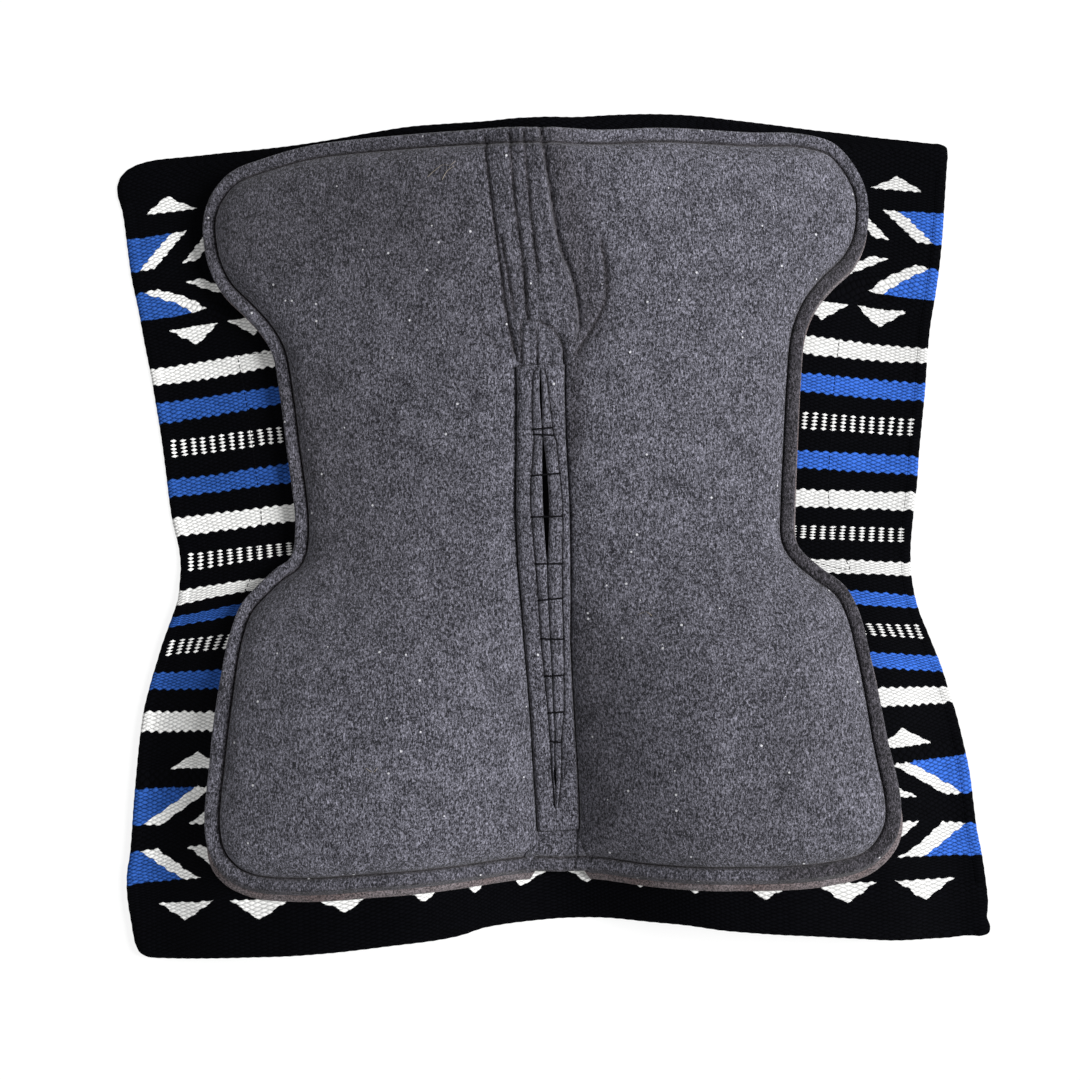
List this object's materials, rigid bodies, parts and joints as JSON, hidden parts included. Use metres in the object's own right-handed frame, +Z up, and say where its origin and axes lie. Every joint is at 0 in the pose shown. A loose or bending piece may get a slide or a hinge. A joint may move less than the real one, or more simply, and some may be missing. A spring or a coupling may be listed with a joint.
{
  "type": "western saddle pad",
  "caption": "Contoured western saddle pad: woven wool blanket with a padded felt underlay, slit spine strip and wear leathers, laid felt side up; folds along the spine.",
  "frame": {"origin": "on the floor, under the middle of the pad's bounding box", "axes": "+X to the pad's right as seen from above with its front away, +Y to its front, +Z up out of the felt side"},
  "size_m": [0.91, 0.866, 0.1278],
  "materials": {
    "woven_wool": "woven wool, dyed in bands",
    "hem_wool": "woven wool, folded",
    "wear_leather": "smooth leather",
    "backing_felt": "pressed felt",
    "foam": "closed-cell foam",
    "grey_felt": "fibrous wool felt",
    "facing_felt": "dark felt",
    "strip_felt": "fibrous wool felt",
    "tack_thread": "waxed thread",
    "gusset_felt": "fibrous wool felt"
  },
  "bodies": {
    "right_half": {"woven_blanket": "woven_wool", "right_side_hem": "hem_wool", "right_wear_leather": "wear_leather", "right_felt_backing": "backing_felt", "right_foam_core": "foam", "right_felt_cover": "grey_felt", "spine_vent_facing": "facing_felt", "spine_strip": "strip_felt", "spine_cross_tack_1": "tack_thread", "spine_cross_tack_2": "tack_thread", "spine_cross_tack_3": "tack_thread", "spine_cross_tack_4": "tack_thread", "spine_cross_tack_5": "tack_thread", "spine_cross_tack_6": "tack_thread", "spine_cross_tack_7": "tack_thread", "spine_cross_tack_8": "tack_thread", "spine_cross_tack_9": "tack_thread", "spine_cross_tack_10": "tack_thread", "front_gusset": "gusset_felt", "rear_gusset": "gusset_felt"},
    "left_half": {"left_side_hem": "hem_wool", "left_wear_leather": "wear_leather", "left_felt_backing": "backing_felt", "left_foam_core": "foam", "left_felt_cover": "grey_felt"}
  },
  "joints": [
    {"name": "spine_fold", "type": "hinge", "parent": "right_half", "child": "left_half", "pos_m": [0, 0, 0.0497], "axis": [0, 0.989, 0.1481], "range_deg": [0, 80], "deforming": ["woven_blanket", "spine_strip", "spine_vent_facing", "front_gusset", "rear_gusset"]}
  ]
}
